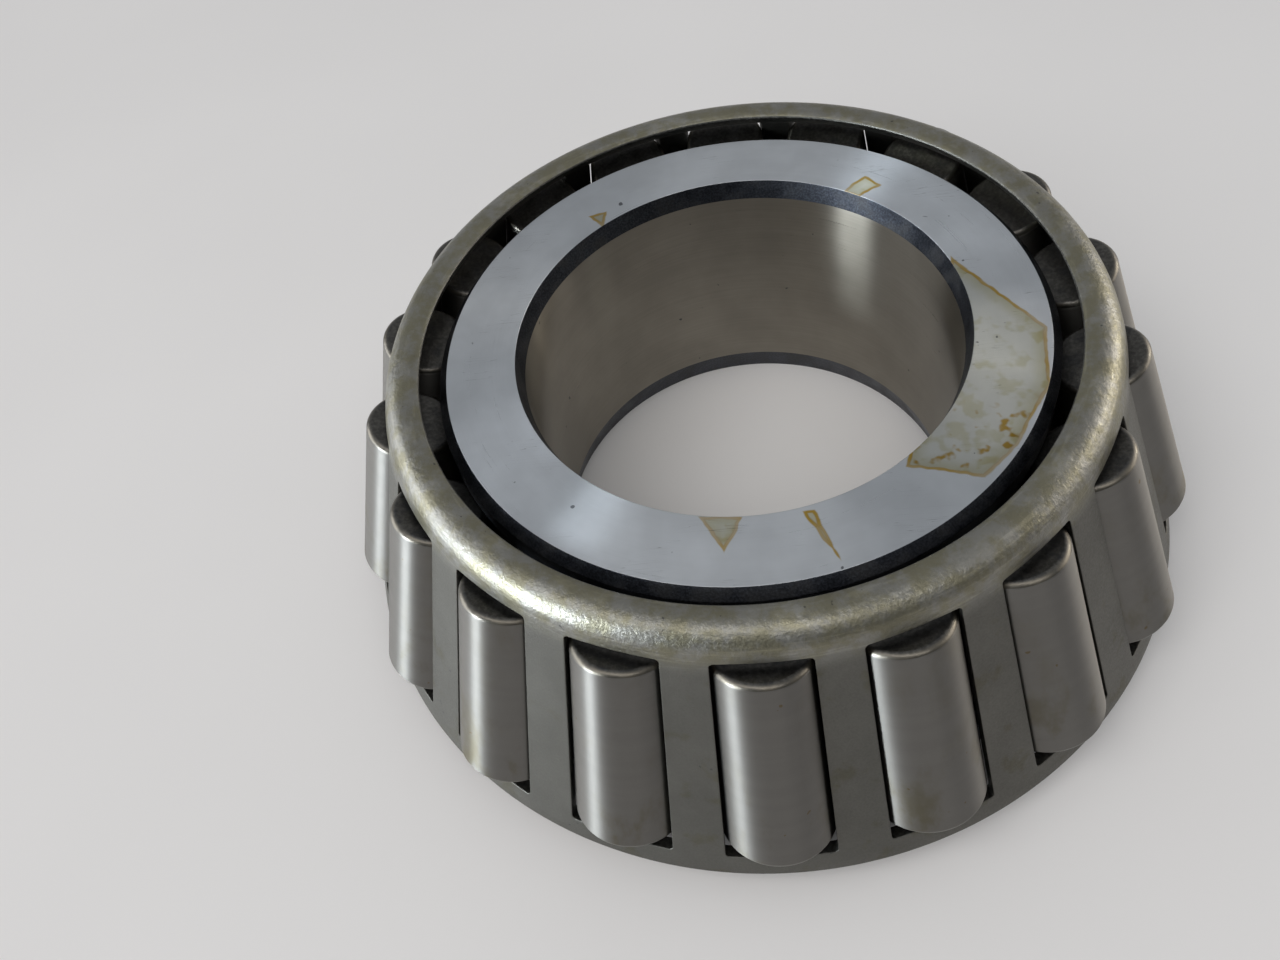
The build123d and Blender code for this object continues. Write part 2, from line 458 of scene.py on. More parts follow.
def roller_tree():
    """Tree that turns a roller and stands it at its place in the row."""
    row = {"Number": "Int", "Count": "Int", "First azimuth": "Float", "Tilt": "Float"}
    large_end = {"Large end radius": "Float", "Large end height": "Float"}
    tree = Tree("roller in its place", {"Segments": "Int", **COMMON_INPUTS, **row, **large_end})
    given = tree.inputs
    own = tree.keep(turned(tree), "own_place", tree.node("GeometryNodeInputPosition"), "FLOAT_VECTOR")
    numbered = tree.keep(own, "number", given["Number"])
    share_turned = tree.number("DIVIDE", given["Number"], given["Count"])
    azimuth = tree.plus(tree.times(share_turned, 2 * pi), given["First azimuth"])
    lean = tree.times(given["Tilt"], -1.0)
    inwards = tree.number("SINE", lean)
    axis_x = tree.times(inwards, tree.number("COSINE", azimuth))
    axis_y = tree.times(inwards, tree.number("SINE", azimuth))
    axis = tree.triple(axis_x, axis_y, tree.number("COSINE", lean))
    out = tree.triple(x=given["Large end radius"], z=given["Large end height"])
    sockets = {"Geometry": numbered, "Translation": out, "Rotation": tree.triple(y=lean)}
    leaning = tree.node("GeometryNodeTransform", sockets)
    placed = tree.node("GeometryNodeTransform", {"Geometry": leaning, "Rotation": tree.triple(z=azimuth)})
    return tree.end(tree.keep(placed, "grain", axis, "FLOAT_VECTOR"))


def cage_tree():
    """Tree that repeats one pocket's share of the cage around Z and joins the shares."""
    tree = Tree("cage of equal pockets", {"Count": "Int", "First azimuth": "Float", **COMMON_INPUTS})
    count = tree.inputs["Count"]
    share_turned = tree.number("DIVIDE", tree.node("GeometryNodeInputIndex"), count)
    angle = tree.plus(tree.times(share_turned, 2 * pi), tree.inputs["First azimuth"])
    points = tree.node("GeometryNodePoints", {"Count": count})
    sockets = {"Points": points, "Instance": tree.inputs["Geometry"], "Rotation": tree.triple(z=angle)}
    repeated = tree.node("GeometryNodeInstanceOnPoints", sockets)
    return tree.end(tree.smooth(tree.node("GeometryNodeRealizeInstances", {0: repeated})))


def grow(source, tree, values):
    """Runs a tree on an object and keeps the result as the object's own plain mesh, faces outwards."""
    modifier = source.modifiers.new("made by rule", "NODES")
    modifier.node_group = tree
    values = {"Merge distance": MERGE, **values}
    for item in tree.interface.items_tree:
        if item.in_out == "INPUT" and item.name in values:
            modifier[item.identifier] = values[item.name]
    source.update_tag()
    bpy.context.view_layer.update()
    graph = bpy.context.evaluated_depsgraph_get()
    evaluated = source.evaluated_get(graph)
    mesh = bpy.data.meshes.new_from_object(evaluated, preserve_all_data_layers=True, depsgraph=graph)
    if not mesh.polygons:
        raise RuntimeError(f"{source.name} came out empty")
    source.modifiers.clear()
    source.data = mesh
    mesh.name = source.name
    shell = bmesh.new()
    shell.from_mesh(mesh)
    bmesh.ops.recalc_face_normals(shell, faces=shell.faces)
    shell.to_mesh(mesh)
    shell.free()
    return source


def stand_for(piece, node):
    """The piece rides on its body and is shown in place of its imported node."""
    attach(piece, node)
    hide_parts(node)


# ---- Pressed cage ----
CORNER_STEPS = 6  # round a pocket's corner
SIDE_STEPS = 14  # along a pocket's side
END_STEPS = 10  # along a pocket's end
BEND_STEPS = 18  # over the rolled rim
SHEET_LOOPS = (1.0, 0.6, 0.25, 0.06)  # loops between a pocket and the edge of its share
WALL_LOOPS = (0.15, 0.35, 0.55, 0.75, 0.88)  # loops down a pocket's wall
QUARTER = [pi / 2 * k / 3 for k in range(4)]  # angles round an eased edge


class Sheet:
    """The cage's sheet near one pocket, at azimuth 0: its cone, the pocket and the rolled rim."""

    def __init__(self, ring, roller, cage):
        self.cage = cage
        self.large = roller.diameter / 2
        self.far, self.near = roller_ends(ring)
        self.cone = ROLLER_TILT + cage.rise * ROLLER_HALF_ANGLE
        spread = cos(cage.rise * ROLLER_HALF_ANGLE)
        self.skirt_end = (self.far + cage.end_clearance) / spread + cage.large_lip
        self.bend_start = (self.near - cage.end_clearance) / spread - cage.small_lip
        front_rib = near_contact(ring) * sin(RACEWAY_ANGLE) + ring.front_rib_height
        reach = on_cone(self.cone, self.bend_start).x - front_rib - cage.rim_clearance
        self.bend_radius = reach / (cos(self.cone) + sin(cage.rim_tuck))
        self.bend_centre = on_cone(self.cone, self.bend_start, -self.bend_radius)
        self.bend_end = pi / 2 + cage.rim_tuck
        self.half_pitch = pi / len(ROLLERS)

    def roller_radius(self, along):
        """Radius of the roller at a distance up its axis from the large end."""
        return (self.far - along) * self.large / self.far

    def around(self):
        """Steps around a pocket: (corner, share of its turn, share of the side that follows it)."""
        for corner, steps in enumerate((SIDE_STEPS, END_STEPS) * 2):
            yield from ((corner, j / CORNER_STEPS, 0) for j in range(CORNER_STEPS + 1))
            yield from ((corner, 1, j / steps) for j in range(1, steps))

    def pocket(self, grown):
        """Points (across, along) around a pocket grown by an amount, in the plane of the roller axis."""
        low = -self.cage.end_clearance
        high = self.far - self.near + self.cage.end_clearance
        half_low, half_high = (self.cage.pocket_share * self.roller_radius(y) + grown for y in (low, high))
        low, high = low - grown, high + grown
        corners = ((half_low, low), (half_high, high), (-half_high, high), (-half_low, low))
        corners = [Vector(corner) for corner in corners]
        arcs = []
        for k, corner in enumerate(corners):
            back, on = (corners[k - 1] - corner).normalized(), (corners[(k + 1) % 4] - corner).normalized()
            reach = (self.cage.pocket_corner + grown) / tan(back.angle(on) / 2)
            arcs.append(bow(corner + back * reach, corner + on * reach, pi - back.angle(on), CORNER_STEPS))
        return [
            arcs[k][-1].lerp(arcs[(k + 1) % 4][0], side) if side else arcs[k][round(turned * CORNER_STEPS)]
            for k, turned, side in self.around()
        ]

    def pierced(self, across, along, depth):
        """(place, rise over the axis) where a line square to the roller axis meets the sheet at a depth."""
        centre, slope = on_cone(ROLLER_TILT, self.far - along), tan(self.cone)
        out, up = cos(ROLLER_TILT), sin(ROLLER_TILT)
        reach = (APEX_HEIGHT - depth / sin(self.cone) - centre.y) * slope
        # rise solves (centre.x + rise out)^2 + across^2 = (reach - rise up slope)^2
        a = out * out - (up * slope) ** 2
        b = centre.x * out + reach * up * slope
        c = centre.x**2 + across**2 - reach**2
        rise = (sqrt(b * b - a * c) - b) / a
        return Vector((centre.x + rise * out, across, centre.y + rise * up)), rise

    def pocket_loop(self, grown, depth):
        """Places around a pocket at a depth in the sheet, opened where the roller needs room."""
        loop = []
        for across, along in self.pocket(grown):
            place, rise = self.pierced(across, along, depth)
            room = self.roller_radius(along) + self.cage.side_clearance
            need = sqrt(max(room * room - rise * rise, 0)) + grown
            half = self.cage.pocket_share * self.roller_radius(along) + grown
            if need > half:
                place, _ = self.pierced(across * need / half, along, depth)
            loop.append(place)
        return loop

    def on_sheet(self, azimuth, distance, depth):
        """Place on the sheet's cone."""
        radius, height = on_cone(self.cone, distance, -depth)
        return Vector((radius * cos(azimuth), radius * sin(azimuth), height))

    def where(self, place, depth):
        """(azimuth, distance from the apex) of a place on the sheet's cone."""
        distance = (APEX_HEIGHT - place.z - depth * sin(self.cone)) / cos(self.cone)
        return Vector((atan2(place.y, place.x), distance))

    def border(self):
        """(azimuth, distance) around the pocket's share of the cone, one for each step around the pocket."""
        half, low, high = self.half_pitch, self.skirt_end - self.cage.rim_edge, self.bend_start
        corners = [Vector(c) for c in ((half, low), (half, high), (-half, high), (-half, low))]
        loop = [self.where(place, 0) for place in self.pocket_loop(0, 0)]
        steps = list(self.around())

        def pushed(point, side):
            edge = corners[side % 4]
            return Vector((edge.x, point.y)) if side % 2 == 0 else Vector((point.x, edge.y))

        placed = []
        for (corner, turned, side), point in zip(steps, loop):
            start = loop[steps.index((corner, 0, 0))]
            end = loop[steps.index((corner, 1, 0))]
            if side:
                placed.append(pushed(point, corner))
            elif turned <= 0.5:
                placed.append(pushed(start, corner - 1).lerp(corners[corner], 2 * turned))
            else:
                placed.append(corners[corner].lerp(pushed(end, corner), 2 * turned - 1))
        return placed

    def sheet_loops(self, depth):
        """Loops on one face of the sheet, from the border of the share in to the pocket's edge."""
        border = self.border()
        pocket = [self.where(place, depth) for place in self.pocket_loop(self.cage.edge, depth)]
        return [
            [self.on_sheet(*inner.lerp(outer, amount), depth) for inner, outer in zip(pocket, border)]
            for amount in SHEET_LOOPS
        ]

    def pocket_shell(self):
        """Loops over the outer face, down the pocket's wall and over the inner face."""
        edge, deep = self.cage.edge, self.cage.sheet
        top = [self.pocket_loop(edge * (1 - sin(q)), edge * (1 - cos(q))) for q in QUARTER]
        wall = [self.pocket_loop(0, deep * share_down) for share_down in WALL_LOOPS]
        bottom = [self.pocket_loop(edge * (1 - sin(q)), deep - edge * (1 - cos(q))) for q in QUARTER]
        loops = [*self.sheet_loops(0), *top, *wall, *reversed(bottom), *reversed(self.sheet_loops(deep))]
        # each eased edge has two loops in the finish of its face and two in that of the wall
        finish = [GROUND] * (len(SHEET_LOOPS) + 2) + [CUT] * (len(WALL_LOOPS) + 4)
        return loops, finish + [GROUND] * (len(SHEET_LOOPS) + 2)

    def rim_profile(self):
        """Points (radius, height) over the rolled rim, round its free edge and back under it."""
        deep, round_edge = self.cage.sheet, self.cage.rim_edge
        over = [self.cone + (self.bend_end - self.cone) * k / BEND_STEPS for k in range(BEND_STEPS)]
        stop = self.bend_end - round_edge / (self.bend_radius - deep / 2)

        def at(angle, depth):
            return self.bend_centre + (self.bend_radius - depth) * Vector((cos(angle), sin(angle)))

        along = Vector((-sin(self.bend_end), cos(self.bend_end)))
        top = [(at(a, 0), GROUND) for a in over if a < stop]
        bottom = [(at(a, deep), GROUND) for a in reversed(over) if a < stop]
        near = stop - FLAT_EDGE / self.bend_radius
        first = [(at(near, 0), GROUND)] + [
            (at(stop, round_edge * (1 - cos(q))) + along * round_edge * sin(q), CUT) for q in QUARTER
        ]
        second = [
            (at(stop, deep - round_edge * (1 - cos(q))) + along * round_edge * sin(q), CUT)
            for q in reversed(QUARTER)
        ] + [(at(near, deep), GROUND)]
        return [*top, *first, *second, *bottom]

    def skirt_profile(self):
        """Points (radius, height) round the skirt's free edge, from the outer face to the inner one."""
        deep, round_edge = self.cage.sheet, self.cage.rim_edge
        start = self.skirt_end - round_edge
        outer = [(start + round_edge * sin(q), round_edge * (1 - cos(q))) for q in QUARTER]
        inner = [(start + round_edge * sin(q), deep - round_edge * (1 - cos(q))) for q in reversed(QUARTER)]
        return [(on_cone(self.cone, distance, -depth), CUT) for distance, depth in outer + inner]

    def turned_rows(self, profile, distance):
        """A profile's points swept over the share, at the azimuths that the border has at a distance."""
        azimuths = sorted(point.x for point in self.border() if abs(point.y - distance) < MERGE)
        return [[Vector((p.x * cos(a), p.x * sin(a), p.y)) for a in azimuths] for p, _ in profile]

    def share_object(self, name):
        """One pocket's share of the cage."""
        places, faces, finishes = [], [], []

        def add(rows, finish, closed):
            count = len(rows[0])
            for row, (places_in_row, surface) in enumerate(zip(rows, finish)):
                start = len(places)
                places.extend(places_in_row)
                finishes.extend([surface] * count)
                for k in range(count if closed else count - 1) if row else ():
                    on = (k + 1) % count
                    faces.append((start + k - count, start + on - count, start + on, start + k))

        add(*self.pocket_shell(), closed=True)
        rim, skirt = self.rim_profile(), self.skirt_profile()
        add(self.turned_rows(rim, self.bend_start), [finish for _, finish in rim], closed=False)
        low = self.skirt_end - self.cage.rim_edge
        add(self.turned_rows(skirt, low), [finish for _, finish in skirt], closed=False)
        return with_finish(name, places, faces, finishes)


# ---- Finishes ----
# Dried drops of oil on the front face: corners (x, y) in millimetres, clockwise from above.
DRIED_DROPS = (
    ((21.4, 6.2), (28.0, -3.9), (26.9, -10.6), (22.8, -17.1), (19.7, -20.0), (13.7, -18.2)),
    ((-4.1, -21.9), (-0.8, -22.2), (-2.4, -25.2)),
    ((4.5, -22.1), (5.3, -22.1), (6.4, -25.6)),
    ((14.6, 20.2), (15.9, 18.6), (13.6, 17.4), (12.2, 18.2)),
    ((-14.9, 19.0), (-13.4, 19.4), (-13.6, 17.4)),
)
DROP_EDGE = 0.25  # a drop fades in over this, and its edge line has faded this far from the edge
DROP_LINE = 0.08  # the edge line is full this far from the edge
DROP_HALO = 1.8  # how far the thicker oil reaches in from a drop's edge
BURNISHED_AND_LIT = (0.50, 0.485, 0.44)  # sheet worn bright, and a painted sheen on the rim


def toned(colour, amount):
    """A colour times a number."""
    return tuple(amount * part for part in colour)


class Finish(Wiring):
    """A material being wired up. Its patterns are in millimetres."""

    def __init__(self, name, roughness=0.5, anisotropy=0.0, metallic=1.0):
        self.material = bpy.data.materials.new(name)
        self.material.use_nodes = True
        super().__init__(self.material.node_tree)
        self.shader = self.tree.nodes["Principled BSDF"]
        self.shader.inputs["Metallic"].default_value = metallic
        self.shader.inputs["Anisotropic"].default_value = anisotropy
        self.shader.inputs["Roughness"].default_value = roughness
        self.coordinates = self.node("ShaderNodeTexCoord").node.outputs

    def in_mm(self, vector):
        """A place in metres, in millimetres."""
        return self.node("ShaderNodeVectorMath", {0: vector, "Scale": 1 / MM}, operation="SCALE")

    def stored(self, name):
        """A vector and a number stored on the piece."""
        outputs = self.node("ShaderNodeAttribute", attribute_name=name).node.outputs
        return outputs["Vector"], outputs["Fac"]

    def scaled(self, vector, x, y, z):
        """A vector with each of its parts times a number."""
        return self.node("ShaderNodeVectorMath", {0: vector, 1: (x, y, z)}, operation="MULTIPLY")

    def cross(self, first, second):
        """The direction square to two others."""
        return self.node("ShaderNodeVectorMath", {0: first, 1: second}, operation="CROSS_PRODUCT")

    def from_axis(self, x, y):
        """How far a place is from the Z axis."""
        return self.number("SQRT", self.plus(self.times(x, x), self.times(y, y)))

    def noise(self, place, scale, detail=2.0, roughness=0.5, seed=0.0):
        """Noise between 0 and 1, with swells about 1 / scale apart."""
        sockets = {"Vector": place, "W": seed, "Scale": scale, "Detail": detail, "Roughness": roughness}
        return self.node("ShaderNodeTexNoise", sockets, noise_dimensions="4D")

    def span(self, value, low, high, to_low=0.0, to_high=1.0):
        """Eases from one number to another as value goes from low to high."""
        sockets = {0: value, 1: low, 2: high, 3: to_low, 4: to_high}
        return self.node("ShaderNodeMapRange", sockets, interpolation_type="SMOOTHSTEP")

    def largest(self, values):
        """The largest of some numbers."""
        most = values[0]
        for value in values[1:]:
            most = self.number("MAXIMUM", most, value)
        return most

    def mix(self, amount, first, second, how="MIX"):
        """Blends two colours."""
        node = self.node("ShaderNodeMix", data_type="RGBA", blend_type=how).node
        sockets = {socket.identifier: socket for socket in node.inputs}
        for key, value in (("Factor_Float", amount), ("A_Color", first), ("B_Color", second)):
            if isinstance(value, bpy.types.NodeSocket):
                self.tree.links.new(value, sockets[key])
            else:
                sockets[key].default_value = value if key == "Factor_Float" else (*value, 1.0)
        return next(socket for socket in node.outputs if socket.identifier == "Result_Color")

    def shaded(self, colour, shade):
        """A colour times the number that comes out of a node."""
        return self.mix(1.0, colour, self.triple(shade, shade, shade), "MULTIPLY")

    def bump(self, height, depth, below=None):
        """Relief of a depth in millimetres, over the relief below."""
        sockets = {"Height": height, "Distance": depth * MM}
        if below is not None:
            sockets["Normal"] = below
        return self.node("ShaderNodeBump", sockets)

    def stretched_along(self, direction):
        """Highlights stretch along a direction in the piece, square to the grinding marks."""
        world = {"vector_type": "VECTOR", "convert_from": "OBJECT", "convert_to": "WORLD"}
        self.give(Tangent=self.node("ShaderNodeVectorTransform", {0: direction}, **world))

    def give(self, **sockets):
        """Feeds the shader's sockets, named with _ for spaces."""
        for key, value in sockets.items():
            self.tree.links.new(value, self.shader.inputs[key.replace("_", " ")])

    def dried_drop(self, x, y, corners, wobble):
        """(inside, edge line, halo within) of a dried drop of oil with straight sides."""
        sides = []
        for start, end in zip(corners, corners[1:] + corners[:1]):
            along = (Vector(end) - Vector(start)).normalized()
            away = Vector((-along.y, along.x))
            reach = self.plus(self.times(x, away.x), self.times(y, away.y))
            sides.append(self.minus(reach, away.dot(Vector(start))))
        outside = self.plus(self.largest(sides), wobble)
        inside = self.span(outside, 0.0, -DROP_EDGE)
        line = self.span(self.number("ABSOLUTE", outside), DROP_EDGE, DROP_LINE)
        return inside, line, self.times(inside, self.span(outside, -DROP_HALO, 0.0))


def ring_ground_finish(ring, tints):
    """Ground faces and bore, with fine marks around the axis, flecks, hair scratches and dried oil; the faces are
    lighter with painted light and the bore darker with painted shade.
    """
    made = Finish("ring_ground_steel", anisotropy=1.0)
    place = made.in_mm(made.coordinates["Object"])
    x, y, z = made.parts(place)
    upright = made.parts(made.coordinates["Normal"])[2]
    flat = made.span(made.number("ABSOLUTE", upright), 0.6, 0.8)
    front = made.span(z, ring.width / MM - 0.2, ring.width / MM - 0.05)

    # marks change with the radius on a face and with the height in the bore, and hardly around the axis
    across = made.plus(made.times(flat, made.from_axis(x, y)), made.times(made.minus(1.0, flat), z))
    around = made.triple(made.times(x, 0.06), made.times(y, 0.06), across)
    marks = made.noise(made.scaled(around, 1, 1, 4.5), 1.0, 5.0, 0.65)
    bands = made.noise(made.scaled(around, 0.4, 0.4, 1.1), 1.0, 2.0, 0.5, seed=4.0)
    clouds = made.noise(place, 0.16, 3.0, 0.55)
    flecks = made.span(made.noise(place, 1.15, 1.0, 0.4, seed=2.0), 0.765, 0.80)
    hairs = made.noise(made.scaled(place, 0.10, 3.2, 1.0), 1.0, 1.0, 0.3, seed=7.0)
    scratches = made.span(made.number("ABSOLUTE", made.minus(hairs, 0.5)), 0.006, 0.002)
    few = made.span(made.noise(place, 0.2, 0.0, 0.5, seed=9.0), 0.60, 0.66)
    scratches = made.times(scratches, few, flat)

    wobble = made.times(made.minus(made.noise(place, 0.7, 1.0), 0.5), 0.6)
    drops = [made.dried_drop(x, y, corners, wobble) for corners in DRIED_DROPS]
    inside, line, halo = (made.times(made.largest(values), front) for values in zip(*drops))
    blots = made.span(made.noise(place, 0.55, 2.0, 0.5, seed=3.0), 0.50, 0.66)
    rust = made.span(made.noise(place, 0.6, 2.0, 0.5, seed=5.0), 0.55, 0.64)
    # only the large drop's near end went rusty
    rust = made.times(rust, made.span(y, -11.0, -14.5), made.span(x, 9.0, 12.0))

    contrast = made.span(flat, 0, 1, 0.34, 0.08)
    shade = made.plus(made.span(clouds, 0.3, 0.7, 0.90, 1.05), made.times(made.minus(marks, 0.5), contrast))
    shade = made.plus(shade, made.times(bands, 0.05))
    # upward faces get the pale bluish tint and the bore the dark brown one: painted light and painted shade on one
    # ground steel
    colour = made.shaded(made.mix(flat, tints.bore, tints.face), shade)
    film = made.plus(made.times(inside, made.span(blots, 0, 1, 0.28, 0.56)), made.times(halo, 0.35))
    line_shown = made.times(line, made.span(clouds, 0.35, 0.6, 0.6, 1.0))
    colour = made.mix(film, colour, tints.oil, "MULTIPLY")
    colour = made.mix(made.times(inside, rust, 0.95), colour, tints.oil_line, "MULTIPLY")
    colour = made.mix(line_shown, colour, tints.oil_line, "MULTIPLY")
    colour = made.mix(made.times(flecks, 0.75), colour, tints.skin)
    colour = made.mix(made.times(scratches, 0.35), colour, tints.skin)

    rough = made.plus(made.span(marks, 0.25, 0.75, 0.27, 0.33), made.times(inside, 0.06))
    relief = made.bump(made.minus(made.times(line, 0.5), flecks), 0.01, made.bump(marks, 0.0022))
    round_axis = made.cross((0.0, 0.0, 1.0), place)
    made.stretched_along(made.cross(round_axis, made.coordinates["Normal"]))
    made.give(Base_Color=colour, Roughness=rough, Normal=relief)
    return made.material


def ring_skin_finish(tints):
    """Blue-black skin left by hardening on the chamfers and ribs."""
    made = Finish("ring_dark_skin")
    place = made.in_mm(made.coordinates["Object"])
    grains = made.noise(place, 5.0, 3.0, 0.6)
    clouds = made.noise(place, 0.5, 2.0, 0.5, seed=3.0)
    colour = made.mix(made.span(grains, 0.35, 0.7), tints.skin, toned(tints.skin, 2.1))
    colour = made.mix(made.span(clouds, 0.4, 0.7, 0.0, 0.4), colour, tints.roller_end)
    rough = made.span(clouds, 0.3, 0.7, 0.34, 0.48)
    made.give(Base_Color=colour, Roughness=rough, Normal=made.bump(grains, 0.02))
    return made.material


def roller_ground_finish(tints):
    """Ground roller surface: fine marks around the roller and thin smears of oil."""
    made = Finish("roller_ground_steel", anisotropy=0.86)
    own, _ = made.stored("own_place")
    _, number = made.stored("number")
    grain, _ = made.stored("grain")
    seed = made.times(number, 3.7)
    place = made.in_mm(own)
    height = made.parts(place)[2]
    marks = made.noise(made.scaled(place, 0.12, 0.12, 10.0), 1.0, 4.0, 0.6, seed)
    bands = made.noise(made.scaled(place, 0.05, 0.05, 0.9), 1.0, 2.0, 0.5, seed)
    smears = made.noise(made.scaled(place, 0.32, 0.32, 0.16), 1.0, 4.0, 0.62, seed)
    specks = made.span(made.noise(place, 1.3, 1.0, 0.4, seed), 0.76, 0.79)
    # the oil has run down towards the large end
    film = made.times(made.span(smears, 0.48, 0.72), made.span(height, 14.0, 1.0, 0.25, 1.0))
    shade = made.plus(made.span(bands, 0.3, 0.7, 0.95, 1.0), made.times(marks, 0.05))
    colour = made.shaded(tints.roller, shade)
    colour = made.mix(made.times(film, 0.55), colour, tints.oil, "MULTIPLY")
    colour = made.mix(made.times(specks, 0.6), colour, tints.oil_line, "MULTIPLY")
    rough = made.plus(made.span(marks, 0.25, 0.75, 0.46, 0.50), made.times(film, 0.05))
    made.stretched_along(grain)
    made.give(Base_Color=colour, Roughness=rough, Normal=made.bump(marks, 0.0012))
    return made.material


def roller_end_finish(roller, tints):
    """Dark tumbled ends of a roller, rubbed bright round their corners, where the brighter tint is also a painted
    highlight.
    """
    made = Finish("roller_dark_ends")
    own, _ = made.stored("own_place")
    _, number = made.stored("number")
    seed = made.times(number, 2.3)
    place = made.in_mm(own)
    x, y, z = made.parts(place)
    pits = made.noise(place, 2.6, 4.0, 0.6, seed)
    clouds = made.noise(place, 0.7, 2.0, 0.5, seed)
    surface = made.minus(roller.diameter / 2 / MM, made.times(z, tan(ROLLER_HALF_ANGLE)))
    rubbed_band_and_highlight = made.span(made.minus(surface, made.from_axis(x, y)), 0.48, 0.16)
    rubbed_band_and_highlight = made.times(rubbed_band_and_highlight, made.span(clouds, 0.3, 0.65, 0.45, 1.0))
    colour = made.mix(made.span(pits, 0.35, 0.7), tints.roller_end, toned(tints.roller_end, 1.7))
    colour = made.mix(made.span(clouds, 0.45, 0.75, 0.0, 0.5), colour, tints.skin)
    # the corner band is tinted brighter: partly rubbed metal, partly a painted highlight
    colour = made.mix(rubbed_band_and_highlight, colour, tints.corner)
    rough = made.minus(made.span(clouds, 0.3, 0.7, 0.36, 0.48), made.times(rubbed_band_and_highlight, 0.10))
    made.give(Base_Color=colour, Roughness=rough, Normal=made.bump(pits, 0.02))
    return made.material


def cage_sheet_finish(tints, crest):
    """Satin pressed sheet with an uneven film of oil; the rim below its crest is lighter, partly burnished and
    partly painted light.
    """
    made = Finish("cage_sheet_steel")
    place = made.in_mm(made.coordinates["Object"])
    drop = made.minus(crest / MM, made.parts(place)[2])
    grains = made.noise(place, 4.5, 4.0, 0.62)
    dapple = made.noise(place, 1.1, 3.0, 0.55, seed=2.0)
    clouds = made.noise(place, 0.16, 3.0, 0.6, seed=5.0)
    around = made.noise(made.scaled(place, 0.22, 0.22, 4.5), 1.0, 3.0, 0.6, seed=3.0)
    specks = made.span(made.noise(place, 1.7, 1.0, 0.4, seed=6.0), 0.75, 0.79)
    rim = made.span(drop, 4.2, 1.6)
    ridge = made.span(drop, 0.9, 0.1)
    worn_and_sheen = made.times(rim, made.span(around, 0.50, 0.66))
    rim_film = made.times(rim, made.span(made.noise(place, 0.5, 6.0, 0.68, seed=8.0), 0.38, 0.60, 0.10, 1.0))
    smears = made.times(made.span(made.noise(place, 0.28, 3.0, 0.6, seed=11.0), 0.56, 0.68), 0.6)
    film = made.number("MAXIMUM", rim_film, smears)
    dings = made.times(rim, made.noise(place, 1.9, 3.0, 0.6, seed=13.0))
    shade = made.plus(made.span(clouds, 0.3, 0.7, 0.88, 1.04), made.times(dapple, 0.10))
    # the rim is lighter than the sheet below and carries bright streaks round it: partly burnish and scuffs,
    # partly painted light
    colour = made.shaded(made.mix(rim, tints.cage, tints.rim), shade)
    colour = made.mix(made.times(worn_and_sheen, 0.25), colour, BURNISHED_AND_LIT)
    colour = made.mix(made.times(film, 0.85), colour, tints.rim_oil, "MULTIPLY")
    colour = made.mix(made.times(specks, 0.6), colour, tints.skin)
    rough = made.minus(made.span(grains, 0.3, 0.7, 0.46, 0.60), made.times(rim, 0.08))
    rough = made.minus(rough, made.times(ridge, 0.05))
    unevenness = made.plus(made.times(dapple, 0.6), made.times(dings, 1.6))
    relief = made.bump(unevenness, 0.045, made.bump(grains, 0.015))
    made.give(Base_Color=colour, Roughness=rough, Normal=relief)
    return made.material


def cut_edge_finish(tints):
    """Sheared edges of the sheet, unevenly torn."""
    made = Finish("cage_cut_edge")
    tears = made.noise(made.in_mm(made.coordinates["Object"]), 3.0, 4.0, 0.65)
    colour = made.mix(made.span(tears, 0.35, 0.7), toned(tints.cage, 0.6), tints.cage)
    rough = made.span(tears, 0.3, 0.7, 0.35, 0.55)
    made.give(Base_Color=colour, Roughness=rough, Normal=made.bump(tears, 0.03))
    return made.material


def floor_finish(stage):
    """Pale matt floor with a faint unevenness."""
    made = Finish("pale_floor", roughness=0.9, metallic=0.0)
    made.shader.inputs["Specular IOR Level"].default_value = 0.0
    clouds = made.noise(made.in_mm(made.coordinates["Object"]), 0.012, 3.0, 0.5)
    made.give(Base_Color=made.mix(made.span(clouds, 0.3, 0.7), stage.floor, toned(stage.floor, 0.97)))
    return made.material


# ---- Stage ----
# name: azimuth, elevation (degrees), distance, width, height (m), power (W), colour, what it lights
LIGHTS = {
    "window_left_pane": (-156.0, 16, 0.60, 0.050, 0.22, 2.2, (0.84, 0.93, 1.0), "gloss"),
    "window_right_pane": (-147.5, 16, 0.60, 0.050, 0.22, 2.2, (0.84, 0.93, 1.0), "gloss"),
    "left_wall": (172.0, 16, 0.80, 0.55, 0.45, 3.0, (0.93, 0.96, 1.0), "gloss"),
    "right_wall": (20.0, 18, 0.80, 0.70, 0.45, 2.3, (1.0, 0.945, 0.88), "gloss"),
    "right_doorway": (25.0, 12, 0.60, 0.035, 0.20, 0.30, (1.0, 0.94, 0.80), "gloss"),
    "ceiling_lamp": (-110.0, 68, 0.90, 1.30, 0.24, 2.6, (1.0, 0.985, 0.965), "all"),
    "soft_key": (-125.0, 48, 1.30, 0.90, 0.90, 4.6, (1.0, 0.985, 0.97), "matt"),
}
FLOOR_GAP = 0.01 * MM  # floor to the bearing
SENSOR = 36  # width of the camera's sensor, in its own millimetres
ROOM_TINT = (0.95, 0.975, 1.0, 1.0)
ROOM_DARK, ROOM_LIGHT = 0.12, 0.46  # brightness of the room low in front and high behind
BACKDROP = 0.66  # brightness of the room behind the bearing


def floor_object(stage):
    """Square floor just under the bearing."""
    half, under = stage.floor_width / 2, RING_LOW.z - FLOOR_GAP
    corners = ((-half, -half), (half, -half), (half, half), (-half, half))
    mesh = bpy.data.meshes.new("floor")
    mesh.from_pydata([(x, y, under) for x, y in corners], [], [(0, 1, 2, 3)])
    mesh.materials.append(floor_finish(stage))
    floor = linked("floor", mesh)


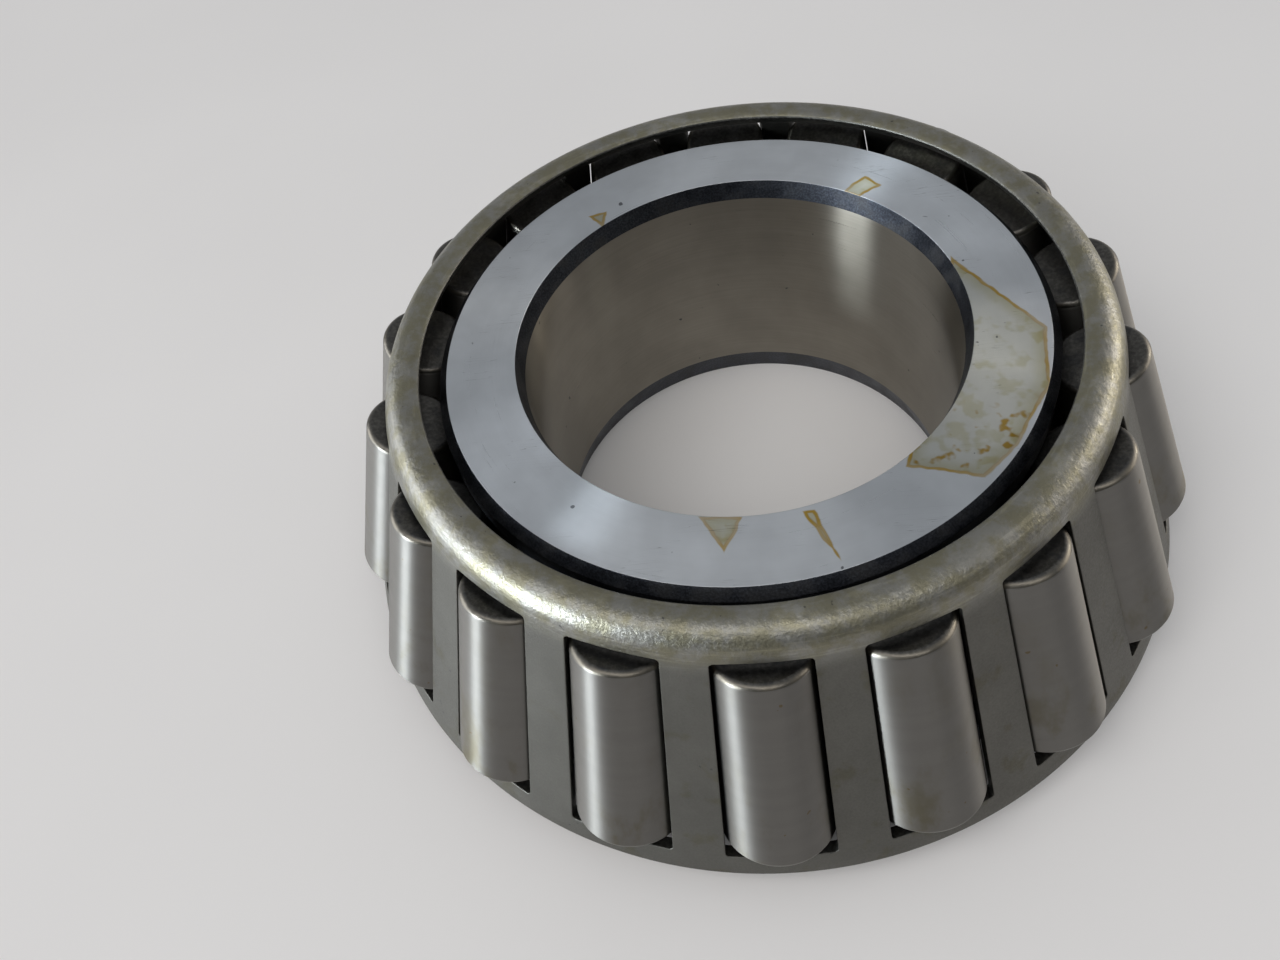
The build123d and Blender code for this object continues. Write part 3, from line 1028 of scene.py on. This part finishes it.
def camera_object(stage):
    """Camera looking down on the bearing from the front."""
    camera = linked("camera", bpy.data.cameras.new("camera"))
    camera.data.lens = stage.lens
    camera.data.sensor_width = SENSOR
    camera.data.clip_start, camera.data.clip_end = 0.005, 20
    place, aim = Vector(stage.camera_place), Vector(stage.camera_aim)
    level = (aim - place).to_track_quat("-Z", "Y").to_matrix()
    rolled = level @ Matrix.Rotation(stage.camera_roll, 3, "Z")
    camera.matrix_world = Matrix.Translation(place) @ rolled.to_4x4()
    bpy.context.scene.camera = camera


def light_object(name, azimuth, elevation, distance, width, height, power, colour, lights_up):
    """Rectangular light that faces the bearing."""
    data = bpy.data.lights.new(name, "AREA")
    data.shape = "RECTANGLE"
    data.size, data.size_y = width, height
    data.energy = power
    data.color = colour
    light = linked(name, data)
    around, up = radians(azimuth), radians(elevation)
    towards = Vector((cos(around) * cos(up), sin(around) * cos(up), sin(up)))
    light.rotation_mode = "QUATERNION"
    light.rotation_quaternion = towards.to_track_quat("Z", "Y")
    light.location = towards * distance
    light.visible_diffuse = lights_up != "gloss"
    light.visible_glossy = lights_up != "matt"


def sky(scene):
    """Even pale room, darker towards the front and the horizon."""
    world = bpy.data.worlds.new("room")
    scene.world = world
    world.use_nodes = True
    wiring = Wiring(world.node_tree)
    _, y, z = wiring.parts(wiring.node("ShaderNodeTexCoord"))
    rise = wiring.plus(wiring.times(z, 0.85), wiring.times(y, 0.45))
    sockets = {0: rise, 1: -0.35, 2: 0.95, 3: ROOM_DARK, 4: ROOM_LIGHT}
    level = wiring.node("ShaderNodeMapRange", sockets, interpolation_type="SMOOTHSTEP")
    # seen straight on, the room is about as pale as the floor
    seen = wiring.node("ShaderNodeLightPath")
    level = wiring.number("MAXIMUM", level, wiring.times(seen, BACKDROP))
    background = world.node_tree.nodes["Background"]
    background.inputs["Color"].default_value = ROOM_TINT
    world.node_tree.links.new(level, background.inputs["Strength"])


# ---- Operators ----
class BEARING_OT_inner_ring(bpy.types.Operator):
    """Turn the inner ring from its outline and give it its ground and dark surfaces."""

    bl_idname = "bearing.inner_ring"
    bl_label = "Inner ring"

    def execute(self, context):
        scene = context.scene
        outline = ring_outline(scene.bearing_ring, scene.bearing_roller)
        piece = grow(
            outline_object("inner_ring_turned", outline),
            ring_tree(),
            {
                "Segments": scene.bearing_ring.segments,
                "Fine material": ring_ground_finish(scene.bearing_ring, scene.bearing_tints),
                "Rough material": ring_skin_finish(scene.bearing_tints),
            },
        )
        stand_for(piece, "inner_ring")
        return {"FINISHED"}


class BEARING_OT_rollers(bpy.types.Operator):
    """Turn the rollers from one outline, each at its place in the row and on its own body."""

    bl_idname = "bearing.rollers"
    bl_label = "Rollers"

    def execute(self, context):
        scene = context.scene
        ring, roller = scene.bearing_ring, scene.bearing_roller
        large_end = on_cone(ROLLER_TILT, roller_ends(ring)[0])
        values = {
            "Segments": roller.segments,
            "Count": len(ROLLERS),
            "First azimuth": FIRST_AZIMUTH,
            "Tilt": ROLLER_TILT,
            "Large end radius": large_end.x,
            "Large end height": large_end.y,
            "Fine material": roller_ground_finish(scene.bearing_tints),
            "Rough material": roller_end_finish(roller, scene.bearing_tints),
        }
        tree = roller_tree()
        outline = roller_outline(ring, roller)
        for number, name in enumerate(ROLLERS):
            piece = grow(outline_object(f"{name}_turned", outline), tree, {**values, "Number": number})
            stand_for(piece, name)
        return {"FINISHED"}


class BEARING_OT_cage(bpy.types.Operator):
    """Repeat one pocket's share of the pressed cage around the axis."""

    bl_idname = "bearing.cage"
    bl_label = "Cage"

    def execute(self, context):
        scene = context.scene
        cage, tints = scene.bearing_cage, scene.bearing_tints
        sheet = Sheet(scene.bearing_ring, scene.bearing_roller, cage)
        values = {
            "Count": len(ROLLERS),
            "First azimuth": FIRST_AZIMUTH,
            "Fine material": cage_sheet_finish(tints, sheet.bend_centre.y + sheet.bend_radius),
            "Rough material": cut_edge_finish(tints),
        }
        piece = grow(sheet.share_object("cage_pressed"), cage_tree(), values)
        stand_for(piece, "cage")
        return {"FINISHED"}


class BEARING_OT_stage(bpy.types.Operator):
    """Set the floor, the lights and the camera."""

    bl_idname = "bearing.stage"
    bl_label = "Stage"

    def execute(self, context):
        scene = context.scene
        stage = scene.bearing_stage
        floor_object(stage)
        camera_object(stage)
        for name, settings in LIGHTS.items():
            light_object(name, *settings)
        sky(scene)
        scene.view_settings.view_transform = "Standard"
        return {"FINISHED"}


class BEARING_PT_panel(bpy.types.Panel):
    """Lists the bearing's pieces and their sizes."""

    bl_idname = "BEARING_PT_panel"
    bl_label = "Tapered roller bearing"
    bl_space_type = "VIEW_3D"
    bl_region_type = "UI"
    bl_category = "Bearing"

    def draw(self, context):
        layout = self.layout
        for operator, group in PIECES:
            box = layout.box()
            box.operator(operator.bl_idname)
            settings = getattr(context.scene, group)
            for name in settings.__annotations__:
                box.prop(settings, name)
        tints = layout.box()
        for name in SteelTints.__annotations__:
            tints.prop(context.scene.bearing_tints, name)


GROUPS = {
    "bearing_ring": RingSizes,
    "bearing_roller": RollerSizes,
    "bearing_cage": CageSizes,
    "bearing_tints": SteelTints,
    "bearing_stage": StageSizes,
}
PIECES = (
    (BEARING_OT_inner_ring, "bearing_ring"),
    (BEARING_OT_rollers, "bearing_roller"),
    (BEARING_OT_cage, "bearing_cage"),
    (BEARING_OT_stage, "bearing_stage"),
)
CLASSES = (*GROUPS.values(), *(operator for operator, _ in PIECES), BEARING_PT_panel)


def register():
    """Adds the classes and the scene's groups of sizes."""
    for cls in CLASSES:
        bpy.utils.register_class(cls)
    for name, group in GROUPS.items():
        setattr(bpy.types.Scene, name, PointerProperty(type=group))


def unregister():
    """Takes the classes and the groups of sizes away again."""
    for name in GROUPS:
        delattr(bpy.types.Scene, name)
    for cls in reversed(CLASSES):
        bpy.utils.unregister_class(cls)


def main():
    """Builds every piece and the stage."""
    register()
    bpy.ops.bearing.inner_ring()
    bpy.ops.bearing.rollers()
    bpy.ops.bearing.cage()
    bpy.ops.bearing.stage()


if __name__ == "__main__":
    main()
